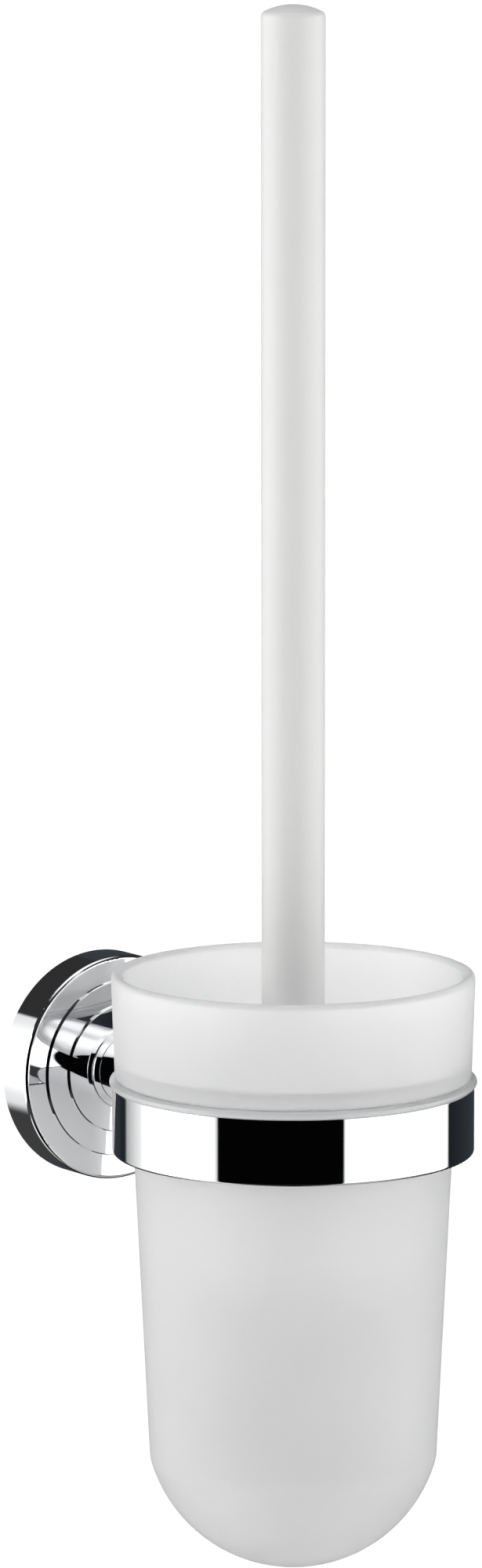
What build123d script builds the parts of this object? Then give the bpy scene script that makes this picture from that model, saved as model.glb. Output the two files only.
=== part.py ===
from build123d import *
import math
import os

# Wall-hung toilet brush holder: a chrome rosette, arm and ring carry a satin glass with a brush in it.
# Millimetres. The origin is on the wall, at the centre of the rosette. +Z is up, the wall is the XZ
# plane, and the holder stands out from the wall towards -Y. "Depth" is a distance out from the wall.

os.makedirs("parts", exist_ok=True)

# Clearances
slide_clearance = 0.08
seat_clearance = 0.1
loose_clearance = 0.3
screw_clearance = 0.3
cut_overrun = 1.0

# Holder as a whole
reach = 88.8
ring_radius = 46.5
ring_height = 17.3
ring_bottom = -9.5
ring_wall = 2.8
ring_foot_round = 0.8
ring_top_round = 0.3

# Wall plate and its boss
plate_thickness = 3.0
plate_margin = 1.7
boss_radius = 11.0
boss_wall = 4.2
boss_end_gap = 0.1
wall_hole_radius = 2.25
wall_hole_head_radius = 4.3
wall_hole_gap = 0.7

# Rosette
rosette_radius = 30.0
rosette_depth = 10.7
rosette_wall = 2.0
rosette_floor = 2.2
rosette_edge_round = 1.1
step_height = 0.7
step_chamfer = 0.25
outer_step_radius = 23.5
inner_step_radius = 17.1
sleeve_wall = 3.4

# Grub screw that clamps the rosette to the boss
grub_radius = 2.0
grub_length = 7.5
grub_groove_depth = 1.5
grub_point_gap = 0.6
grub_point_length = 1.5
grub_key_flats = 2.0
grub_key_depth = 2.0
grub_key_hole_radius = 2.3

# Arm
arm_radius = 9.4
arm_flange_width = 1.3
arm_flange_thickness = 1.4
arm_flange_round = 0.5

# Screws and dowel pins at the two ends of the arm
rosette_screw_radius = 3.0
rosette_screw_head_radius = 5.0
rosette_screw_head_gap = 1.5
rosette_screw_grip = 10.0
rosette_screw_flats = 4.0
ring_screw_radius = 2.5
ring_screw_head_radius = 4.6
ring_screw_grip = 10.0
ring_screw_flats = 3.0
ring_screw_sink = 0.2
screw_bore_spare = 2.0
pin_radius = 1.25
pin_skin = 2.2
pin_grip = 4.0
pin_bite = 1.5

# Seat ring, the clear plastic collar that the glass stands on
seat_flange_thickness = 1.95
seat_flange_overhang = 0.7
seat_flange_round = 0.9
seat_sleeve_wall = 1.2
seat_sleeve_short = 1.5

# Glass
glass_wall = 3.0
glass_floor = 3.5
glass_rim_height = 27.2
glass_drop = 118.4
glass_shoulder_inset = 1.4
glass_rim_flare = 0.95
glass_neck_clearance = 0.5
glass_taper = 4.85
glass_cap_bulge = 1.25
glass_rim_round = 1.4
glass_shoulder_round = 1.2
glass_neck_round = 0.4
glass_inner_round = 2.0
glass_kink_round = 12.0

# Handle
handle_length = 318.1
handle_foot_radius = 8.05
handle_top_radius = 8.18
handle_wall = 2.4
handle_dome_height = 2.2
handle_dome_round = 1.6
plug_length = 26.0
plug_lip = 1.2
stud_radius = 4.0
stud_length = 34.0
stud_chamfer = 0.6
stud_end_gap = 1.0

# Brush head
hub_radius = 9.5
hub_length = 64.0
hub_shoulder = 7.0
hub_end_round = 4.0
brush_gap = 0.6
tip_length = 16.3
brush_side_clearance = 3.6
row_count = 7
row_pitch = 7.6
row_first = 12.0
tufts_in_row = 14
row_band = 0.8
row_band_height = 4.4
tuft_root_radius = 1.4
tuft_flare = 2.5
tip_band = 1.6
tip_root_drop = 1.35
row_bottom_clearance = 1.2
tip_side_clearance = 1.6
tip_rings = [(2.6, 24.0, 6), (5.2, 54.0, 11)]

# Places worked out from the sizes above
plate_reach = boss_radius + wall_hole_gap + wall_hole_head_radius
wall_hole_spacing = 2 * plate_reach
plate_radius = plate_reach + wall_hole_head_radius + plate_margin
ring_top = ring_bottom + ring_height
ring_bore = ring_radius - ring_wall
seat_flange_radius = ring_radius + seat_flange_overhang
seat_sleeve_radius = ring_bore - seat_clearance
seat_bore = seat_sleeve_radius - seat_sleeve_wall
glass_seat = ring_top + seat_flange_thickness
glass_rim = glass_seat + glass_rim_height
glass_bottom = -glass_drop
glass_neck = seat_bore - glass_neck_clearance
glass_shoulder = seat_flange_radius - glass_shoulder_inset
glass_rim_radius = glass_shoulder + glass_rim_flare
glass_foot = glass_neck - glass_taper
cap_radius = glass_foot + glass_cap_bulge
cap_centre = glass_bottom + cap_radius
inner_cap_radius = cap_radius - glass_floor
inner_foot = glass_foot - glass_wall
bristle_bottom = glass_bottom + glass_floor + brush_gap
hub_bottom = bristle_bottom + tip_length
hub_top = hub_bottom + hub_length
brush_radius = inner_foot - brush_side_clearance
floor_back = rosette_depth - rosette_floor
boss_depth = floor_back - boss_end_gap
boss_bore = boss_radius - boss_wall
hub_face = rosette_depth + 2 * step_height
sleeve_bore = boss_radius + slide_clearance
sleeve_radius = sleeve_bore + sleeve_wall
sleeve_end = plate_thickness + loose_clearance
grub_depth = (sleeve_end + floor_back) / 2
grub_tip = boss_radius - grub_groove_depth + grub_point_gap
arm_end = reach - ring_radius
arm_flange_radius = arm_radius + arm_flange_width
pin_offset = arm_radius - pin_radius - pin_skin
rosette_screw_head_height = floor_back - plate_thickness - rosette_screw_head_gap
ring_screw_face = reach - ring_bore - ring_screw_sink
ring_screw_slope = ring_screw_head_radius - ring_screw_radius

# Planes and axes: the holder plane holds the profiles that turn about the upright axis of the glass.
holder_plane = Plane.XZ.offset(reach)
holder_axis = Axis((0, -reach, 0), (0, 0, 1))
wall_axis = Axis((0, 0, 0), (0, -1, 0))


def wall_plane(depth):
    """Plane parallel to the wall that looks away from it, with X to the right and Z up."""
    return Plane.XZ.offset(depth)


def corner(profile, across, up):
    """The profile corner nearest to a point, measured in the plane that the profile is drawn on."""
    return profile.vertices().sort_by_distance((across, up, 0))[0]


def save(piece, name):
    piece.part.label = name
    export_step(piece.part, f"parts/{name}.step")


# ---- Wall plate: a disc with two countersunk holes and a grooved boss for the rosette ----
with BuildPart() as wall_plate:
    with BuildSketch(Plane.XY):
        with BuildLine():
            Polyline(
                (0, 0),
                (plate_radius, 0),
                (plate_radius, -plate_thickness),
                (boss_radius, -plate_thickness),
                (boss_radius, -grub_depth + grub_groove_depth),
                (boss_radius - grub_groove_depth, -grub_depth),
                (boss_radius, -grub_depth - grub_groove_depth),
                (boss_radius, -boss_depth),
                (boss_bore, -boss_depth),
                (boss_bore, -plate_thickness),
                (0, -plate_thickness),
                close=True,
            )
        make_face()
    revolve(axis=wall_axis)
    with Locations(wall_plane(plate_thickness)):
        with GridLocations(wall_hole_spacing, 0, 2, 1):
            CounterSinkHole(wall_hole_radius, wall_hole_head_radius, depth=plate_thickness)
save(wall_plate, "wall_plate")


# ---- Rosette: a stepped cup that slips over the boss ----
with BuildPart() as rosette:
    with BuildSketch(Plane.XY) as rosette_profile:
        with BuildLine():
            Polyline(
                (rosette_screw_radius + screw_clearance, -hub_face),
                (inner_step_radius, -hub_face),
                (inner_step_radius, -rosette_depth - step_height),
                (outer_step_radius, -rosette_depth - step_height),
                (outer_step_radius, -rosette_depth),
                (rosette_radius, -rosette_depth),
                (rosette_radius, 0),
                (rosette_radius - rosette_wall, 0),
                (rosette_radius - rosette_wall, -floor_back),
                (sleeve_radius, -floor_back),
                (sleeve_radius, -sleeve_end),
                (sleeve_bore, -sleeve_end),
                (sleeve_bore, -floor_back),
                (rosette_screw_radius + screw_clearance, -floor_back),
                close=True,
            )
        make_face()
        fillet(corner(rosette_profile, rosette_radius, -rosette_depth), rosette_edge_round)
        outer_step = corner(rosette_profile, outer_step_radius, -rosette_depth - step_height)
        inner_step = corner(rosette_profile, inner_step_radius, -hub_face)
        chamfer([outer_step, inner_step], step_chamfer)
    revolve(axis=wall_axis)
    # key hole through the rim, then the thread through the sleeve, both from below
    with BuildSketch(Plane.XY.offset(-rosette_radius - cut_overrun)):
        with Locations((0, -grub_depth)):
            Circle(grub_key_hole_radius)
    extrude(amount=rosette_wall + 2 * cut_overrun, mode=Mode.SUBTRACT)
    with BuildSketch(Plane.XY.offset(-sleeve_radius - cut_overrun)):
        with Locations((0, -grub_depth)):
            Circle(grub_radius)
    extrude(amount=sleeve_radius, mode=Mode.SUBTRACT)
    # blind hole for the pin that stops the arm turning
    with BuildSketch(wall_plane(hub_face)):
        with Locations((0, pin_offset)):
            Circle(pin_radius)
    extrude(amount=-pin_bite, mode=Mode.SUBTRACT)
save(rosette, "rosette")


# ---- Grub screw: its point pulls the rosette back against the wall ----
with BuildPart() as grub_screw:
    with BuildSketch(Plane.XY.offset(-grub_tip)):
        with Locations((0, -grub_depth)):
            Circle(grub_radius)
    extrude(amount=-grub_length)
    point = grub_screw.edges().filter_by(GeomType.CIRCLE).sort_by(Axis.Z)[-1]
    chamfer(point, grub_point_length)
    with BuildSketch(Plane.XY.offset(-grub_tip - grub_length)):
        with Locations((0, -grub_depth)):
            RegularPolygon(grub_key_flats / 2, 6, major_radius=False)
    extrude(amount=grub_key_depth, mode=Mode.SUBTRACT)
save(grub_screw, "grub_screw")


# ---- Arm: a turned post with a foot flange, its far end coped to the ring ----
with BuildPart() as arm:
    with BuildSketch(wall_plane(hub_face)):
        Circle(arm_flange_radius)
    extrude(amount=arm_flange_thickness)
    flange_edge = arm.edges().filter_by(GeomType.CIRCLE).sort_by(Axis.Y)[0]
    fillet(flange_edge, arm_flange_round)
    with BuildSketch(wall_plane(hub_face)):
        Circle(arm_radius)
    extrude(amount=arm_end + arm_radius - hub_face)
    with BuildSketch(Plane.XY.offset(-ring_height)):
        with Locations((0, -reach)):
            Circle(ring_radius)
    extrude(amount=2 * ring_height, mode=Mode.SUBTRACT)
    with BuildSketch(Plane.XY.offset(ring_top - loose_clearance)):
        with Locations((0, -reach)):
            Circle(seat_flange_radius + loose_clearance)
    extrude(amount=ring_height, mode=Mode.SUBTRACT)
    with BuildSketch(wall_plane(hub_face)):
        Circle(rosette_screw_radius)
    extrude(amount=rosette_screw_grip + screw_bore_spare, mode=Mode.SUBTRACT)
    with BuildSketch(wall_plane(arm_end - ring_screw_grip - screw_bore_spare)):
        Circle(ring_screw_radius)
    extrude(amount=reach, mode=Mode.SUBTRACT)
    with BuildSketch(wall_plane(hub_face)):
        with Locations((0, pin_offset)):
            Circle(pin_radius)
    extrude(amount=pin_grip, mode=Mode.SUBTRACT)
    with BuildSketch(wall_plane(arm_end - pin_grip)):
        with Locations((0, -pin_offset)):
            Circle(pin_radius)
    extrude(amount=reach, mode=Mode.SUBTRACT)
save(arm, "arm")


# ---- Screw and pin that hold the arm to the rosette ----
with BuildPart() as rosette_screw:
    with BuildSketch(wall_plane(floor_back)):
        Circle(rosette_screw_head_radius)
    extrude(amount=-rosette_screw_head_height)
    with BuildSketch(wall_plane(floor_back)):
        Circle(rosette_screw_radius)
    extrude(amount=hub_face - floor_back + rosette_screw_grip)
    with BuildSketch(wall_plane(floor_back - rosette_screw_head_height)):
        RegularPolygon(rosette_screw_flats / 2, 6, major_radius=False)
    extrude(amount=rosette_screw_head_height / 2, mode=Mode.SUBTRACT)
save(rosette_screw, "rosette_screw")

with BuildPart() as rosette_pin:
    with BuildSketch(wall_plane(hub_face - pin_bite)):
        with Locations((0, pin_offset)):
            Circle(pin_radius)
    extrude(amount=pin_bite + pin_grip)
save(rosette_pin, "rosette_pin")


# ---- Screw and pin that hold the ring to the arm ----
with BuildPart() as ring_screw:
    with BuildSketch(Plane.XY):
        with BuildLine():
            Polyline(
                (0, -ring_screw_face),
                (ring_screw_head_radius, -ring_screw_face),
                (ring_screw_radius, -ring_screw_face + ring_screw_slope),
                (ring_screw_radius, -arm_end + ring_screw_grip),
                (0, -arm_end + ring_screw_grip),
                close=True,
            )
        make_face()
    revolve(axis=wall_axis)
    with BuildSketch(wall_plane(ring_screw_face)):
        RegularPolygon(ring_screw_flats / 2, 6, major_radius=False)
    extrude(amount=-ring_screw_slope, mode=Mode.SUBTRACT)
save(ring_screw, "ring_screw")

with BuildPart() as ring_pin:
    with BuildSketch(wall_plane(arm_end - pin_grip)):
        with Locations((0, -pin_offset)):
            Circle(pin_radius)
    extrude(amount=pin_grip + pin_bite)
save(ring_pin, "ring_pin")


# ---- Holder ring: a plain band with a countersunk hole at its back ----
with BuildPart() as holder_ring:
    with BuildSketch(holder_plane) as ring_profile:
        with BuildLine():
            Polyline(
                (ring_bore, ring_bottom),
                (ring_radius, ring_bottom),
                (ring_radius, ring_top),
                (ring_bore, ring_top),
                close=True,
            )
        make_face()
        fillet(corner(ring_profile, ring_radius, ring_bottom), ring_foot_round)
        fillet(corner(ring_profile, ring_radius, ring_top), ring_top_round)
    revolve(axis=holder_axis)
    with BuildSketch(Plane.XY):
        with BuildLine():
            Polyline(
                (0, -reach),
                (ring_screw_head_radius, -reach),
                (ring_screw_head_radius, -ring_screw_face),
                (ring_screw_radius, -ring_screw_face + ring_screw_slope),
                (ring_screw_radius, 0),
                (0, 0),
                close=True,
            )
        make_face()
    revolve(axis=wall_axis, mode=Mode.SUBTRACT)
    with BuildSketch(wall_plane(0)):
        with Locations((0, -pin_offset)):
            Circle(pin_radius)
    extrude(amount=arm_end + pin_bite, mode=Mode.SUBTRACT)
save(holder_ring, "holder_ring")


# ---- Seat ring: its sleeve lines the ring and its flange lies on top ----
with BuildPart() as seat_ring:
    with BuildSketch(holder_plane) as seat_profile:
        with BuildLine():
            Polyline(
                (seat_bore, ring_bottom + seat_sleeve_short),
                (seat_sleeve_radius, ring_bottom + seat_sleeve_short),
                (seat_sleeve_radius, ring_top),
                (seat_flange_radius, ring_top),
                (seat_flange_radius, glass_seat),
                (seat_bore, glass_seat),
                close=True,
            )
        make_face()
        fillet(corner(seat_profile, seat_flange_radius, ring_top), seat_flange_round)
        fillet(corner(seat_profile, seat_flange_radius, glass_seat), seat_flange_round)
    revolve(axis=holder_axis)
save(seat_ring, "seat_ring")


# ---- Glass: a wide collar that stands on the seat ring, a tapered body and a rounded bottom ----
outer_kink = cap_centre - math.sqrt(cap_radius**2 - glass_foot**2)
outer_kink_angle = math.degrees(math.acos(glass_foot / cap_radius))
inner_kink = cap_centre - math.sqrt(inner_cap_radius**2 - inner_foot**2)
inner_kink_angle = math.degrees(math.acos(inner_foot / inner_cap_radius))
glass_ledge = glass_seat + glass_wall

with BuildPart() as glass:
    with BuildSketch(holder_plane) as glass_profile:
        with BuildLine():
            CenterArc((0, cap_centre), cap_radius, -90, 90 - outer_kink_angle)
            Polyline(
                (glass_foot, outer_kink),
                (glass_neck, glass_seat),
                (glass_shoulder, glass_seat),
                (glass_rim_radius, glass_rim),
                (glass_rim_radius - glass_wall, glass_rim),
                (glass_shoulder - glass_wall, glass_ledge),
                (glass_neck - glass_wall, glass_ledge),
                (inner_foot, inner_kink),
            )
            CenterArc((0, cap_centre), inner_cap_radius, -90, 90 - inner_kink_angle)
            Line((0, glass_bottom), (0, glass_bottom + glass_floor))
        make_face()
        for radius, height, rounding in [
            (glass_rim_radius, glass_rim, glass_rim_round),
            (glass_rim_radius - glass_wall, glass_rim, glass_rim_round),
            (glass_shoulder, glass_seat, glass_shoulder_round),
            (glass_neck, glass_seat, glass_neck_round),
            (glass_shoulder - glass_wall, glass_ledge, glass_inner_round),
            (glass_neck - glass_wall, glass_ledge, glass_inner_round),
            (glass_foot, outer_kink, glass_kink_round),
        ]:
            fillet(corner(glass_profile, radius, height), rounding)
    revolve(axis=holder_axis)
save(glass, "glass")


# ---- Handle: a slim tube closed by a shallow dome ----
handle_bottom = hub_top
handle_top = handle_bottom + handle_length
dome_foot = handle_top - handle_dome_height
dome_radius = (handle_top_radius**2 + handle_dome_height**2) / (2 * handle_dome_height)
bore_radius = handle_foot_radius - handle_wall
bore_end = dome_foot - handle_wall

with BuildPart() as handle:
    with BuildSketch(holder_plane) as handle_profile:
        with BuildLine():
            Polyline(
                (bore_radius, handle_bottom),
                (handle_foot_radius, handle_bottom),
                (handle_top_radius, dome_foot),
            )
            RadiusArc((handle_top_radius, dome_foot), (0, handle_top), -dome_radius)
            Polyline(
                (0, handle_top),
                (0, bore_end),
                (bore_radius, bore_end),
                (bore_radius, handle_bottom),
            )
        make_face()
        fillet(corner(handle_profile, handle_top_radius, dome_foot), handle_dome_round)
    revolve(axis=holder_axis)
save(handle, "handle")


# ---- Plug and stud at the handle's lower end ----
with BuildPart() as handle_plug:
    with BuildSketch(Plane.XY.offset(handle_bottom)):
        with Locations((0, -reach)):
            Circle(bore_radius)
            Circle(stud_radius, mode=Mode.SUBTRACT)
    extrude(amount=plug_length)
save(handle_plug, "handle_plug")

stud_bottom = handle_bottom - stud_length / 2
with BuildPart() as head_stud:
    with BuildSketch(Plane.XY.offset(stud_bottom)):
        with Locations((0, -reach)):
            Circle(stud_radius)
    extrude(amount=stud_length)
    ends = head_stud.edges().filter_by(GeomType.CIRCLE)
    chamfer(ends, stud_chamfer)
save(head_stud, "head_stud")


# ---- Brush hub: screws onto the stud and carries the bristles ----
with BuildPart() as brush_hub:
    with BuildSketch(holder_plane) as hub_profile:
        with BuildLine():
            Polyline(
                (0, hub_bottom),
                (hub_radius, hub_bottom),
                (hub_radius, hub_top - hub_shoulder),
                (handle_foot_radius, hub_top),
                (stud_radius, hub_top),
                (stud_radius, stud_bottom - stud_end_gap),
                (0, stud_bottom - stud_end_gap),
                close=True,
            )
        make_face()
        fillet(corner(hub_profile, hub_radius, hub_bottom), hub_end_round)
    revolve(axis=holder_axis)
save(brush_hub, "brush_hub")


# ---- Bristles: rows of tufts round the hub, each row on its own band ----
def row_radius(height):
    """How far out a row reaches: to the straight wall's limit, or less down in the rounded bottom."""
    tuft_spread = (brush_radius - hub_radius) * math.tan(math.radians(tuft_flare))
    drop = max(0, cap_centre - height + tuft_root_radius + tuft_spread)
    return min(brush_radius, math.sqrt((inner_cap_radius - row_bottom_clearance) ** 2 - drop**2))


def bristle_row(height):
    """One row: a thin band on the hub with tufts that widen towards their tips."""
    with BuildPart() as row:
        with BuildSketch(Plane.XY.offset(height - row_band_height / 2)):
            with Locations((0, -reach)):
                Circle(hub_radius + row_band)
                Circle(hub_radius, mode=Mode.SUBTRACT)
        extrude(amount=row_band_height)
        spokes = [
            Plane(
                origin=(
                    (hub_radius + row_band / 2) * math.cos(turn),
                    (hub_radius + row_band / 2) * math.sin(turn) - reach,
                    height,
                ),
                z_dir=(math.cos(turn), math.sin(turn), 0),
            )
            for turn in (2 * math.pi * index / tufts_in_row for index in range(tufts_in_row))
        ]
        with BuildSketch(*spokes):
            Circle(tuft_root_radius)
        extrude(amount=row_radius(height) - hub_radius - row_band / 2, taper=-tuft_flare)
    return row


for index in range(row_count):
    row = bristle_row(hub_top - row_first - index * row_pitch)
    save(row, f"bristle_row_{index + 1}")


# ---- Tip: a cap under the hub with one tuft down the middle and two rings of slanting ones ----
tip_root = hub_bottom - tip_root_drop


def tip_tuft_length(root_radius, slant):
    """How far a slanting tuft runs before it comes near the glass's round inner bottom."""
    start_height = tip_root - cap_centre
    along = root_radius * math.sin(slant) - start_height * math.cos(slant)
    limit = inner_cap_radius - tip_side_clearance
    return -along + math.sqrt(along**2 - root_radius**2 - start_height**2 + limit**2)


with BuildPart() as bristle_tip:
    with BuildSketch(Plane.XY.offset(hub_bottom - tip_band)):
        with Locations((0, -reach)):
            Circle(hub_radius - hub_end_round + tuft_root_radius / 2)
    extrude(amount=tip_band)
    with BuildSketch(Plane.XY.offset(tip_root)):
        with Locations((0, -reach)):
            Circle(tuft_root_radius)
    extrude(amount=bristle_bottom - tip_root, taper=-tuft_flare)
    for root_radius, spread, tuft_count in tip_rings:
        slant = math.radians(spread)
        rays = [
            Plane(
                origin=(root_radius * math.cos(turn), root_radius * math.sin(turn) - reach, tip_root),
                z_dir=(
                    math.sin(slant) * math.cos(turn),
                    math.sin(slant) * math.sin(turn),
                    -math.cos(slant),
                ),
            )
            for turn in (2 * math.pi * index / tuft_count for index in range(tuft_count))
        ]
        with BuildSketch(*rays):
            Circle(tuft_root_radius)
        extrude(amount=tip_tuft_length(root_radius, slant), taper=-tuft_flare)
save(bristle_tip, "bristle_tip")
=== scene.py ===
import math
import bpy
import numpy as np
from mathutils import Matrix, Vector


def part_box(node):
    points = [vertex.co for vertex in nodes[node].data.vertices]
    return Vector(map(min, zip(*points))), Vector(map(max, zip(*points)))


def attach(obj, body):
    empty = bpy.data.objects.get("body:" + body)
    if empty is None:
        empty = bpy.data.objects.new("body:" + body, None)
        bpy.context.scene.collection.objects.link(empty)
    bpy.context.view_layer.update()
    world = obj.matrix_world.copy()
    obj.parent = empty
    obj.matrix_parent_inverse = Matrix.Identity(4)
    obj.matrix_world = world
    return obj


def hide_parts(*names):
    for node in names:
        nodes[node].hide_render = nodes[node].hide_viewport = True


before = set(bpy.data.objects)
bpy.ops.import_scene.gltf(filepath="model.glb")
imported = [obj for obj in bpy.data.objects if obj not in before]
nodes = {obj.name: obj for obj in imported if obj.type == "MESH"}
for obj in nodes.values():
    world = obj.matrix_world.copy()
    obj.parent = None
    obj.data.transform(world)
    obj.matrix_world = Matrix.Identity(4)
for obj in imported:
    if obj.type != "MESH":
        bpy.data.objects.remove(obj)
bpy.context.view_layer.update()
print("holder loaded:", len(nodes), "parts")

mm = 0.001

# The upright axis of the ring, glass and brush, read from the ring's own box.
ringLow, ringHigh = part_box("holder_ring")
axisPlace = np.array([(ringLow.x + ringHigh.x) / 2, (ringLow.y + ringHigh.y) / 2, 0.0])


# A new node material. Values go straight onto the shader's own sockets. Where a noise is linked in later, the
# value given here is about its middle, which shows wherever nodes aren't read.
def makeMaterial(name, values):
    material = bpy.data.materials.new(name)
    material.use_nodes = True
    shader = material.node_tree.nodes["Principled BSDF"]
    for socket, value in values.items():
        shader.inputs[socket].default_value = value
    return material, material.node_tree, shader


# Noise on object coordinates, stretched by a Mapping node. Its value runs from 0 to 1.
def addNoise(tree, scale, stretch=(1, 1, 1), detail=2.0):
    place = tree.nodes.new("ShaderNodeTexCoord")
    mapping = tree.nodes.new("ShaderNodeMapping")
    mapping.inputs["Scale"].default_value = stretch
    noise = tree.nodes.new("ShaderNodeTexNoise")
    noise.inputs["Scale"].default_value = scale
    noise.inputs["Detail"].default_value = detail
    tree.links.new(place.outputs["Object"], mapping.inputs["Vector"])
    tree.links.new(mapping.outputs["Vector"], noise.inputs["Vector"])
    return noise.outputs["Fac"]


# Nearly all of a noise lies between these two values.
noiseLow = 0.3
noiseHigh = 0.7


# Roughness that drifts between two values with a noise, in a straight line from the low noise to the high.
def varyRoughness(tree, shader, noise, low, high):
    spread = tree.nodes.new("ShaderNodeMapRange")
    spread.inputs["From Min"].default_value = noiseLow
    spread.inputs["From Max"].default_value = noiseHigh
    spread.inputs["To Min"].default_value = low
    spread.inputs["To Max"].default_value = high
    tree.links.new(noise, spread.inputs["Value"])
    tree.links.new(spread.outputs["Result"], shader.inputs["Roughness"])


# Base colour that drifts between two colours with a noise, in the same way.
def varyColour(tree, shader, noise, first, second):
    ramp = tree.nodes.new("ShaderNodeValToRGB")
    ramp.color_ramp.elements[0].position = noiseLow
    ramp.color_ramp.elements[0].color = (*first, 1)
    ramp.color_ramp.elements[1].position = noiseHigh
    ramp.color_ramp.elements[1].color = (*second, 1)
    tree.links.new(noise, ramp.inputs["Fac"])
    tree.links.new(ramp.outputs["Color"], shader.inputs["Base Color"])


# Fine relief: the surface is tilted as if it were raised by the noise times the height, in metres.
def addGrain(tree, shader, noise, height, strength):
    bump = tree.nodes.new("ShaderNodeBump")
    bump.inputs["Strength"].default_value = strength
    bump.inputs["Distance"].default_value = height
    tree.links.new(noise, bump.inputs["Height"])
    tree.links.new(bump.outputs["Normal"], shader.inputs["Normal"])


# Polished chrome plate: mirror bright, with the faintest polishing haze.
def makeChrome():
    material, tree, shader = makeMaterial("polishedChrome", {
        "Base Color": (0.88, 0.885, 0.895, 1),
        "Metallic": 1.0,
        "Roughness": 0.03,
    })
    varyRoughness(tree, shader, addNoise(tree, 60, detail=3), 0.015, 0.045)
    return material


# Zinc plated steel of the hidden fixings: dull, slightly streaky.
def makeSteel():
    material, tree, shader = makeMaterial("zincSteel", {
        "Base Color": (0.6, 0.61, 0.63, 1),
        "Metallic": 1.0,
        "Roughness": 0.35,
    })
    varyColour(tree, shader, addNoise(tree, 120, (1, 1, 3)), (0.52, 0.53, 0.55), (0.68, 0.69, 0.7))
    varyRoughness(tree, shader, addNoise(tree, 900), 0.28, 0.42)
    addGrain(tree, shader, addNoise(tree, 2500), 0.02 * mm, 0.25)
    return material


# Satin glass: etched all over, so light goes in soft and comes out white-grey.
def makeSatinGlass():
    material, tree, shader = makeMaterial("satinGlass", {
        "Base Color": (0.925, 0.925, 0.927, 1),
        "Roughness": 0.45,
        "IOR": 1.5,
        "Transmission Weight": 0.52,
    })
    varyColour(tree, shader, addNoise(tree, 30, detail=1), (0.91, 0.91, 0.912), (0.94, 0.94, 0.942))
    varyRoughness(tree, shader, addNoise(tree, 300), 0.42, 0.48)
    addGrain(tree, shader, addNoise(tree, 6000), 0.01 * mm, 0.15)
    return material


# Smoky clear plastic of the seat ring.
def makeSeatPlastic():
    material, tree, shader = makeMaterial("smokyPlastic", {
        "Base Color": (0.85, 0.86, 0.865, 1),
        "Roughness": 0.15,
        "IOR": 1.49,
        "Transmission Weight": 0.3,
    })
    varyRoughness(tree, shader, addNoise(tree, 200), 0.12, 0.2)
    return material


# White plastic with a soft sheen, for the handle and the brush head's core.
def makeWhitePlastic():
    material, tree, shader = makeMaterial("whitePlastic", {
        "Base Color": (0.84, 0.84, 0.83, 1),
        "Roughness": 0.42,
        "IOR": 1.5,
        "Subsurface Weight": 0.15,
        "Subsurface Radius": (0.004, 0.004, 0.004),
        "Subsurface Scale": 0.5,
    })
    varyColour(tree, shader, addNoise(tree, 30, (1, 1, 0.3)), (0.83, 0.83, 0.825), (0.86, 0.86, 0.85))
    varyRoughness(tree, shader, addNoise(tree, 250), 0.38, 0.48)
    addGrain(tree, shader, addNoise(tree, 3500), 0.01 * mm, 0.12)
    return material


# White nylon for the bristles: slightly see-through, brighter along its edges.
def makeNylon():
    material, tree, shader = makeMaterial("whiteNylon", {
        "Base Color": (0.96, 0.96, 0.95, 1),
        "Roughness": 0.38,
        "IOR": 1.53,
        "Transmission Weight": 0.15,
    })
    varyColour(tree, shader, addNoise(tree, 400), (0.94, 0.94, 0.93), (0.98, 0.98, 0.97))
    return material


chrome = makeChrome()
steel = makeSteel()
satinGlass = makeSatinGlass()
seatPlastic = makeSeatPlastic()
whitePlastic = makeWhitePlastic()
nylon = makeNylon()

finishOf = {
    "rosette": chrome,
    "arm": chrome,
    "holder_ring": chrome,
    "wall_plate": steel,
    "grub_screw": steel,
    "rosette_screw": steel,
    "rosette_pin": steel,
    "ring_screw": steel,
    "ring_pin": steel,
    "head_stud": steel,
    "seat_ring": seatPlastic,
    "glass": satinGlass,
    "handle": whitePlastic,
    "handle_plug": whitePlastic,
    "brush_hub": whitePlastic,
}


# One material over a whole piece.
def dress(piece, material):
    piece.data.materials.clear()
    piece.data.materials.append(material)


for nodeName, material in finishOf.items():
    dress(nodes[nodeName], material)
print("materials on the parts:", len(finishOf))


bristleValues = {
    "perTuft": 22,              # filaments in one tuft
    "thickness": 0.34 * mm,     # of one filament
    "tipShare": 0.6,            # how thick its end is beside the rest
    "rootSpread": 1.25 * mm,    # radius of a tuft where it leaves the hub
    "tipSpread": 2.35 * mm,     # and at its end
    "sides": 4,                 # corners round a filament
    "rings": 6,                 # rings along it
    "curl": 0.55 * mm,          # how far a filament wanders sideways
    "lengthWobble": 0.9 * mm,   # how much shorter the shortest one is
    "seed": 11,
}


# A mesh piece from its points and faces, smooth shaded, at the origin.
def makePiece(name, points, faces, material):
    mesh = bpy.data.meshes.new(name)
    mesh.from_pydata(points.reshape(-1, 3).tolist(), [], faces.tolist())
    mesh.polygons.foreach_set("use_smooth", np.ones(len(mesh.polygons), bool))
    mesh.update()
    piece = bpy.data.objects.new(name, mesh)
    bpy.context.scene.collection.objects.link(piece)
    dress(piece, material)
    return piece


# Two directions square to each row of directions, and to each other.
def sideways(along):
    up = np.where(np.abs(along[:, 2:3]) < 0.9, [[0.0, 0.0, 1.0]], [[1.0, 0.0, 0.0]])
    first = np.cross(along, up)
    first /= np.linalg.norm(first, axis=1, keepdims=True)
    return first, np.cross(along, first)


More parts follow.
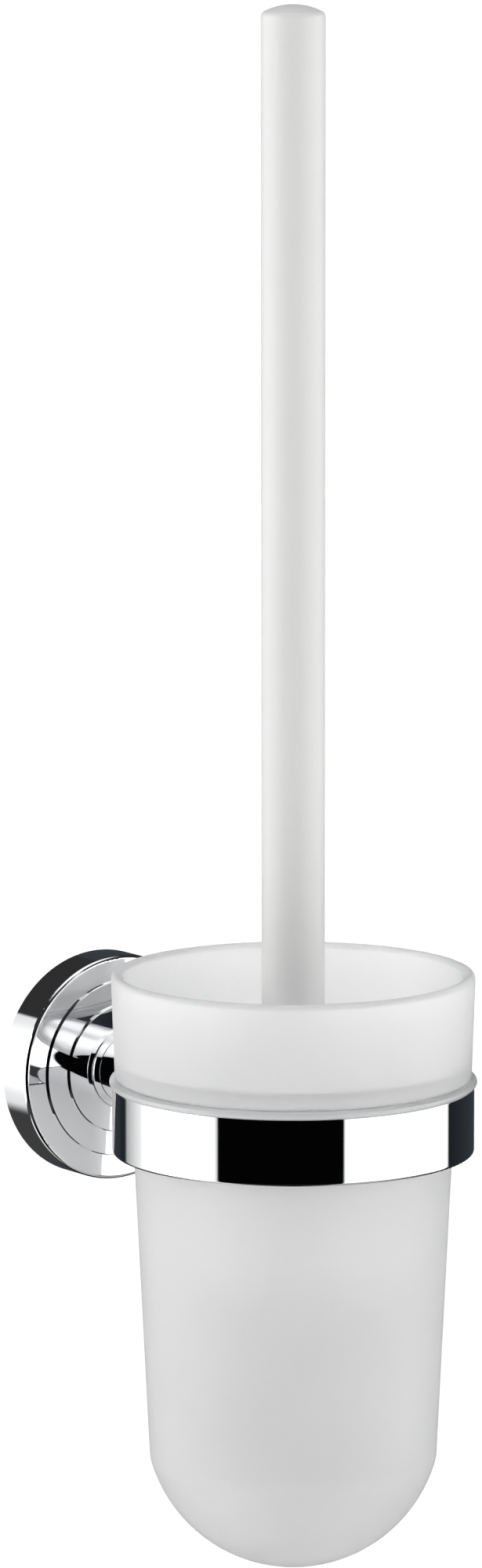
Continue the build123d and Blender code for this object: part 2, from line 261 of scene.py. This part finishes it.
# Filaments of many tufts at once. Filament f at t from 0 to 1 lies at root + (tip - root) t, plus a sideways
# bow that grows as t squared. Round it stands a ring of corners, which shrinks a little to a rounded end.
def filamentMesh(roots, tips, values, draw):
    count = len(roots)
    t = np.linspace(0, 1, values["rings"])
    along = tips - roots
    along /= np.linalg.norm(along, axis=1, keepdims=True)
    first, second = sideways(along)
    bow = draw.normal(0, 1, (count, 2)) * values["curl"]
    centre = roots[:, None] + (tips - roots)[:, None] * t[None, :, None]
    centre += (first * bow[:, :1] + second * bow[:, 1:])[:, None] * (t**2)[None, :, None]
    girth = values["thickness"] / 2 * np.where(t < 1, 1.0, values["tipShare"])
    turn = 2 * np.pi * np.arange(values["sides"]) / values["sides"]
    ring = first[:, None] * np.cos(turn)[None, :, None] + second[:, None] * np.sin(turn)[None, :, None]
    points = centre[:, :, None] + ring[:, None] * girth[None, :, None, None]

    sides, rings = values["sides"], values["rings"]
    j, i = np.meshgrid(np.arange(rings - 1), np.arange(sides), indexing="ij")
    after = (i + 1) % sides
    wall = np.stack([j * sides + i, j * sides + after, (j + 1) * sides + after, (j + 1) * sides + i], -1)
    wall = wall.reshape(-1, 4)[:, ::-1]
    bottom = np.arange(sides)[None]
    top = (rings - 1) * sides + np.arange(sides)[::-1][None]
    one = np.concatenate([wall, bottom, top])
    faces = one[None] + (np.arange(count) * sides * rings)[:, None, None]
    return points, faces.reshape(-1, 4)


goldenTurn = math.radians(137.508)


# Filaments fanned out of each tuft: roots packed in a small disc, tips in a wider one. A spot in the disc is
# the sunflower layout, radius by the square root of its number and a golden turn from each to the next.
def fanTufts(rootPlaces, tipPlaces, values, draw):
    number = np.arange(values["perTuft"])
    radius = np.sqrt((number + 0.5) / values["perTuft"])
    turn = number * goldenTurn
    along = tipPlaces - rootPlaces
    along /= np.linalg.norm(along, axis=1, keepdims=True)
    first, second = sideways(along)
    disc = (first[:, None] * (radius * np.cos(turn))[None, :, None]
            + second[:, None] * (radius * np.sin(turn))[None, :, None])
    roots = rootPlaces[:, None] + disc * values["rootSpread"]
    tips = tipPlaces[:, None] + disc * values["tipSpread"]
    tips += along[:, None] * draw.uniform(-1, 0, (*tips.shape[:2], 1)) * values["lengthWobble"]
    return filamentMesh(roots.reshape(-1, 3), tips.reshape(-1, 3), values, draw)


rowValues = {
    "rows": 7,
    "tufts": 14,            # in each row
    "rootDepth": 1.2 * mm,  # how deep the tufts sit in the hub
}


# One row: tufts evenly round the hub, each straight out from the axis.
def makeRow(nodeName, pieceName, values, bristles, draw):
    low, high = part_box(nodeName)
    height = (low.z + high.z) / 2
    outer = (high.x - low.x) / 2
    hubLow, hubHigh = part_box("brush_hub")
    inner = (hubHigh.x - hubLow.x) / 2 - values["rootDepth"]
    tufts = values["tufts"]
    turn = 2 * np.pi * np.arange(tufts) / tufts
    spoke = np.stack([np.cos(turn), np.sin(turn), np.zeros(tufts)], -1)
    centre = axisPlace + [0, 0, height]
    points, faces = fanTufts(centre + spoke * inner, centre + spoke * outer, bristles, draw)
    piece = makePiece(pieceName, points, faces, nylon)
    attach(piece, "brush")
    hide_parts(nodeName)


draw = np.random.default_rng(bristleValues["seed"])
for number in range(1, rowValues["rows"] + 1):
    makeRow(f"bristle_row_{number}", f"bristleRow{number}", rowValues, bristleValues, draw)
print("bristle rows made:", rowValues["rows"])


# The tip: one tuft straight down and rings of slanting ones that follow the round bottom of the glass.
tipValues = {
    "rootRise": 0.5 * mm,       # how far the roots stand up inside the hub
    "rings": [(0.0, 0.0, 1), (2.6 * mm, 24.0, 6), (5.2 * mm, 54.0, 11)],  # root radius, slant, tufts
    "endGap": 2.4 * mm,         # from the tips to the glass
    "glassFloor": 3.5 * mm,     # how thick the glass's bottom is
    "bottomRadius": 34.8 * mm,  # inside of the rounded bottom
}


# A tuft's length is where its line meets a ball that is smaller than the glass's round inside by the gap.
def makeTip(values, bristles, draw):
    glassLow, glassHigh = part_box("glass")
    hubLow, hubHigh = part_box("brush_hub")
    ballRadius = values["bottomRadius"] - values["endGap"]
    ballCentre = glassLow.z + values["glassFloor"] + values["bottomRadius"]
    rootHeight = hubLow.z + values["rootRise"]
    roots, tips = [], []
    for radius, slant, tufts in values["rings"]:
        turn = 2 * np.pi * np.arange(tufts) / tufts
        lean = math.radians(slant)
        flat = np.stack([np.cos(turn), np.sin(turn), np.zeros(tufts)], -1)
        way = flat * math.sin(lean) - np.array([0, 0, math.cos(lean)])
        start = flat * radius + [0, 0, rootHeight - ballCentre]
        half = (start * way).sum(1)
        length = -half + np.sqrt(half**2 - (start**2).sum(1) + ballRadius**2)
        place = axisPlace + [0, 0, ballCentre]
        roots.append(place + start)
        tips.append(place + start + way * length[:, None])
    points, faces = fanTufts(np.concatenate(roots), np.concatenate(tips), bristles, draw)
    piece = makePiece("bristleTip", points, faces, nylon)
    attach(piece, "brush")
    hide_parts("bristle_tip")


makeTip(tipValues, bristleValues, draw)
print("bristle tip made")


studioValues = {
    "floorHeight": -0.32,
    "floorReach": 14.0,     # from the middle to an edge
    "floorSteps": 8,
    "floorGlow": 0.4,
    # Brightness round the studio: turn in degrees from straight out from the wall, + to the right, and value.
    "panels": [
        (-180, 0.02), (-171, 0.02), (-168, 0.45), (-150, 0.95), (-128, 3.3), (-100, 3.3), (-86, 0.95),
        (-84.5, 0.001), (-4, 0.001), (-2.5, 1.4), (79, 1.6),
        (81, 0.015), (110, 0.03), (143, 0.05), (180, 0.03),
    ],
    "flagLimit": 0.1,                   # darker than this counts as a flag
    "flagTint": (0.88, 1.0, 1.2),       # flags are slate rather than black
    # Above and below the panels: value, then the heights (sine of the slope) where it starts and is reached.
    "gap": (0.03, 0.395, 0.42),
    "ceiling": (1.2, 0.8, 0.95),
    "ground": (0.05, -0.42, -0.5),
    "shine": (0.3, -0.62, -0.7),        # the panels again, dimmed, as a glossy ground shows them
    "mattGain": 1.85,       # how much more of the panels matt surfaces take than shiny ones
    "mattFill": 0.13,       # plain light that only matt surfaces take
    "through": 4.6,         # what shows through the glass
}


# One sum by the name of the operation. A number goes onto its socket, and anything else is linked to it.
def addMath(tree, operation, *terms):
    node = tree.nodes.new("ShaderNodeMath")
    node.operation = operation
    for socket, term in zip(node.inputs, terms):
        if isinstance(term, (int, float)):
            socket.default_value = term
        else:
            tree.links.new(term, socket)
    return node.outputs[0]


# Fades a colour into another as the height goes from start to end, slowly at both ends.
def addFade(tree, colour, other, height, start, end):
    fade = tree.nodes.new("ShaderNodeMapRange")
    fade.interpolation_type = "SMOOTHSTEP"
    fade.inputs["From Min"].default_value = start
    fade.inputs["From Max"].default_value = end
    tree.links.new(height, fade.inputs["Value"])
    mix = tree.nodes.new("ShaderNodeMix")
    mix.data_type = "RGBA"
    tree.links.new(fade.outputs["Result"], mix.inputs["Factor"])
    tree.links.new(colour, mix.inputs["A"])
    if isinstance(other, float):
        mix.inputs["B"].default_value = (other, other, other, 1)
    else:
        tree.links.new(other, mix.inputs["B"])
    return mix.outputs["Result"]


# The panels and flags as a ramp over one whole turn. The turn is the arc tangent of x over -y, so it is 0
# straight out from the wall.
def addPanels(tree, x, y, values):
    turn = addMath(tree, "ARCTAN2", x, addMath(tree, "MULTIPLY", y, -1.0))
    share = addMath(tree, "MULTIPLY_ADD", turn, 1 / (2 * math.pi), 0.5)
    ramp = tree.nodes.new("ShaderNodeValToRGB")
    stops = ramp.color_ramp.elements
    while len(stops) > 1:
        stops.remove(stops[-1])
    for number, (degrees, value) in enumerate(values["panels"]):
        where = (degrees + 180) / 360
        stop = stops[0] if number == 0 else stops.new(where)
        stop.position = where
        tint = values["flagTint"] if value < values["flagLimit"] else (1, 1, 1)
        stop.color = (*(value * channel for channel in tint), 1)
    tree.links.new(share, ramp.inputs["Fac"])
    return ramp.outputs["Color"]


# What shiny and matt surfaces take from the studio. The panels fade into a dark gap and a ceiling above, and
# into a dark ground with a dim image of the panels below. For matt surfaces all of it is multiplied by a
# gain, and a plain fill is added.
def addSurroundings(tree, rays, values):
    place = tree.nodes.new("ShaderNodeTexCoord")
    split = tree.nodes.new("ShaderNodeSeparateXYZ")
    tree.links.new(place.outputs["Generated"], split.inputs[0])
    x, y, z = split.outputs
    panels = addPanels(tree, x, y, values)
    colour = panels
    for layer in ("gap", "ceiling", "ground"):
        colour = addFade(tree, colour, values[layer][0], z, *values[layer][1:])
    dimming, start, end = values["shine"]
    dimmed = tree.nodes.new("ShaderNodeVectorMath")
    dimmed.operation = "SCALE"
    dimmed.inputs["Scale"].default_value = dimming
    tree.links.new(panels, dimmed.inputs[0])
    colour = addFade(tree, colour, dimmed.outputs["Vector"], z, start, end)

    matt = rays.outputs["Is Diffuse Ray"]
    light = tree.nodes.new("ShaderNodeVectorMath")
    light.operation = "MULTIPLY_ADD"
    tree.links.new(colour, light.inputs[0])
    tree.links.new(addMath(tree, "MULTIPLY_ADD", matt, values["mattGain"] - 1, 1.0), light.inputs[1])
    tree.links.new(addMath(tree, "MULTIPLY", matt, values["mattFill"]), light.inputs[2])
    surroundings = tree.nodes.new("ShaderNodeBackground")
    tree.links.new(light.outputs["Vector"], surroundings.inputs["Color"])
    return surroundings.outputs[0]


# The studio is painted on the sky. The camera sees plain white behind the object, and so does what looks
# through the glass, only brighter.
def makeStudio(values):
    world = bpy.data.worlds.new("studio")
    bpy.context.scene.world = world
    world.use_nodes = True
    tree = world.node_tree
    tree.nodes.clear()
    rays = tree.nodes.new("ShaderNodeLightPath")
    through = rays.outputs["Is Transmission Ray"]
    straight = addMath(tree, "MAXIMUM", rays.outputs["Is Camera Ray"], through)
    plain = tree.nodes.new("ShaderNodeBackground")
    plain.inputs["Color"].default_value = (1, 1, 1, 1)
    strength = addMath(tree, "MULTIPLY_ADD", through, values["through"] - 1, 1.0)
    tree.links.new(strength, plain.inputs["Strength"])
    backdrop = tree.nodes.new("ShaderNodeMixShader")
    tree.links.new(straight, backdrop.inputs["Fac"])
    tree.links.new(addSurroundings(tree, rays, values), backdrop.inputs[1])
    tree.links.new(plain.outputs[0], backdrop.inputs[2])
    output = tree.nodes.new("ShaderNodeOutputWorld")
    tree.links.new(backdrop.outputs[0], output.inputs["Surface"])


# A pale floor: a flat grid of points, with a face between each four. Its glow keeps it pale in the shade.
def makeFloor(values):
    steps = values["floorSteps"]
    across = np.linspace(-values["floorReach"], values["floorReach"], steps + 1)
    x, y = np.meshgrid(across, across, indexing="ij")
    points = np.stack([x, y, np.full_like(x, values["floorHeight"])], -1)
    i, j = np.meshgrid(np.arange(steps), np.arange(steps), indexing="ij")
    corner = (i * (steps + 1) + j).ravel()
    faces = np.stack([corner, corner + steps + 1, corner + steps + 2, corner + 1], -1)
    material, tree, shader = makeMaterial("paleFloor", {
        "Roughness": 0.9,
        "Emission Color": (1, 1, 1, 1),
        "Emission Strength": values["floorGlow"],
    })
    varyColour(tree, shader, addNoise(tree, 2), (0.9, 0.9, 0.9), (0.93, 0.93, 0.93))
    floor = makePiece("floor", points, faces, material)
    floor.visible_glossy = False


makeStudio(studioValues)
makeFloor(studioValues)
print("studio made")


cameraValues = {
    "place": (-1.16133, -1.68722, 0.39621),
    "target": (0.0, -0.0888, 0.08582),
    "lens": 180.0,      # a long lens, in millimetres like the sensor
    "sensor": 36.0,
    "shift": -0.0333,   # sideways, as a share of the picture
}


# The camera stands in front, to the left and a little above, and looks from its place to its target.
def makeCamera(values):
    data = bpy.data.cameras.new("camera")
    data.lens = values["lens"]
    data.sensor_width = values["sensor"]
    data.shift_x = values["shift"]
    data.clip_start = 0.05
    data.clip_end = 60
    camera = bpy.data.objects.new("camera", data)
    bpy.context.scene.collection.objects.link(camera)
    camera.location = values["place"]
    look = Vector(values["target"]) - Vector(values["place"])
    camera.rotation_euler = look.to_track_quat("-Z", "Y").to_euler()
    bpy.context.scene.camera = camera


makeCamera(cameraValues)
bpy.context.scene.view_settings.view_transform = "Standard"
print("camera made")
